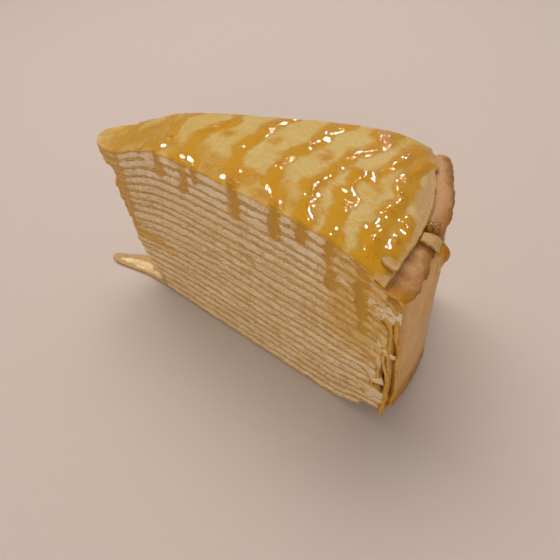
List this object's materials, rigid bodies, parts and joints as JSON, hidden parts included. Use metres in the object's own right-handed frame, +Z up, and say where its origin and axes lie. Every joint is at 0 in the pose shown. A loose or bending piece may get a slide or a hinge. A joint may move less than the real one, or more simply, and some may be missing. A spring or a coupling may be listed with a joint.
{
  "type": "crepe cake slice",
  "caption": "Wedge of layered crepe cake: thin crepes with cream between them, a golden top crepe, and rims that hang down over the rounded outer side.",
  "frame": {"origin": "on the surface that the slice stands on, at the middle of its length and its width", "axes": "+X along the slice's middle line from its nose to its rounded outer side, +Y from the front cut to the rear cut, +Z up"},
  "size_m": [0.139, 0.0654, 0.0757],
  "materials": {
    "crepe": "soft, matte, with browned specks and edges",
    "top_crepe": "butter yellow with golden mottling, moist",
    "cream": "soft, matte to satin"
  },
  "bodies": {
    "root": {"crepe_01": "crepe", "cream_01": "cream", "crepe_02": "crepe", "cream_02": "cream", "crepe_03": "crepe", "cream_03": "cream", "crepe_04": "crepe", "cream_04": "cream", "crepe_05": "crepe", "cream_05": "cream", "crepe_06": "crepe", "cream_06": "cream", "crepe_07": "crepe", "cream_07": "cream", "crepe_08": "crepe", "cream_08": "cream", "crepe_09": "crepe", "cream_09": "cream", "crepe_10": "crepe", "cream_10": "cream", "crepe_11": "crepe", "cream_11": "cream", "crepe_12": "crepe", "cream_12": "cream", "crepe_13": "crepe", "cream_13": "cream", "crepe_14": "crepe", "cream_14": "cream", "crepe_15": "crepe", "cream_15": "cream", "crepe_16": "crepe", "cream_16": "cream", "crepe_17": "crepe", "cream_17": "cream", "crepe_18": "crepe", "cream_18": "cream", "crepe_19": "crepe", "cream_19": "cream", "crepe_20": "crepe", "cream_20": "cream", "crepe_21": "top_crepe"}
  },
  "joints": []
}
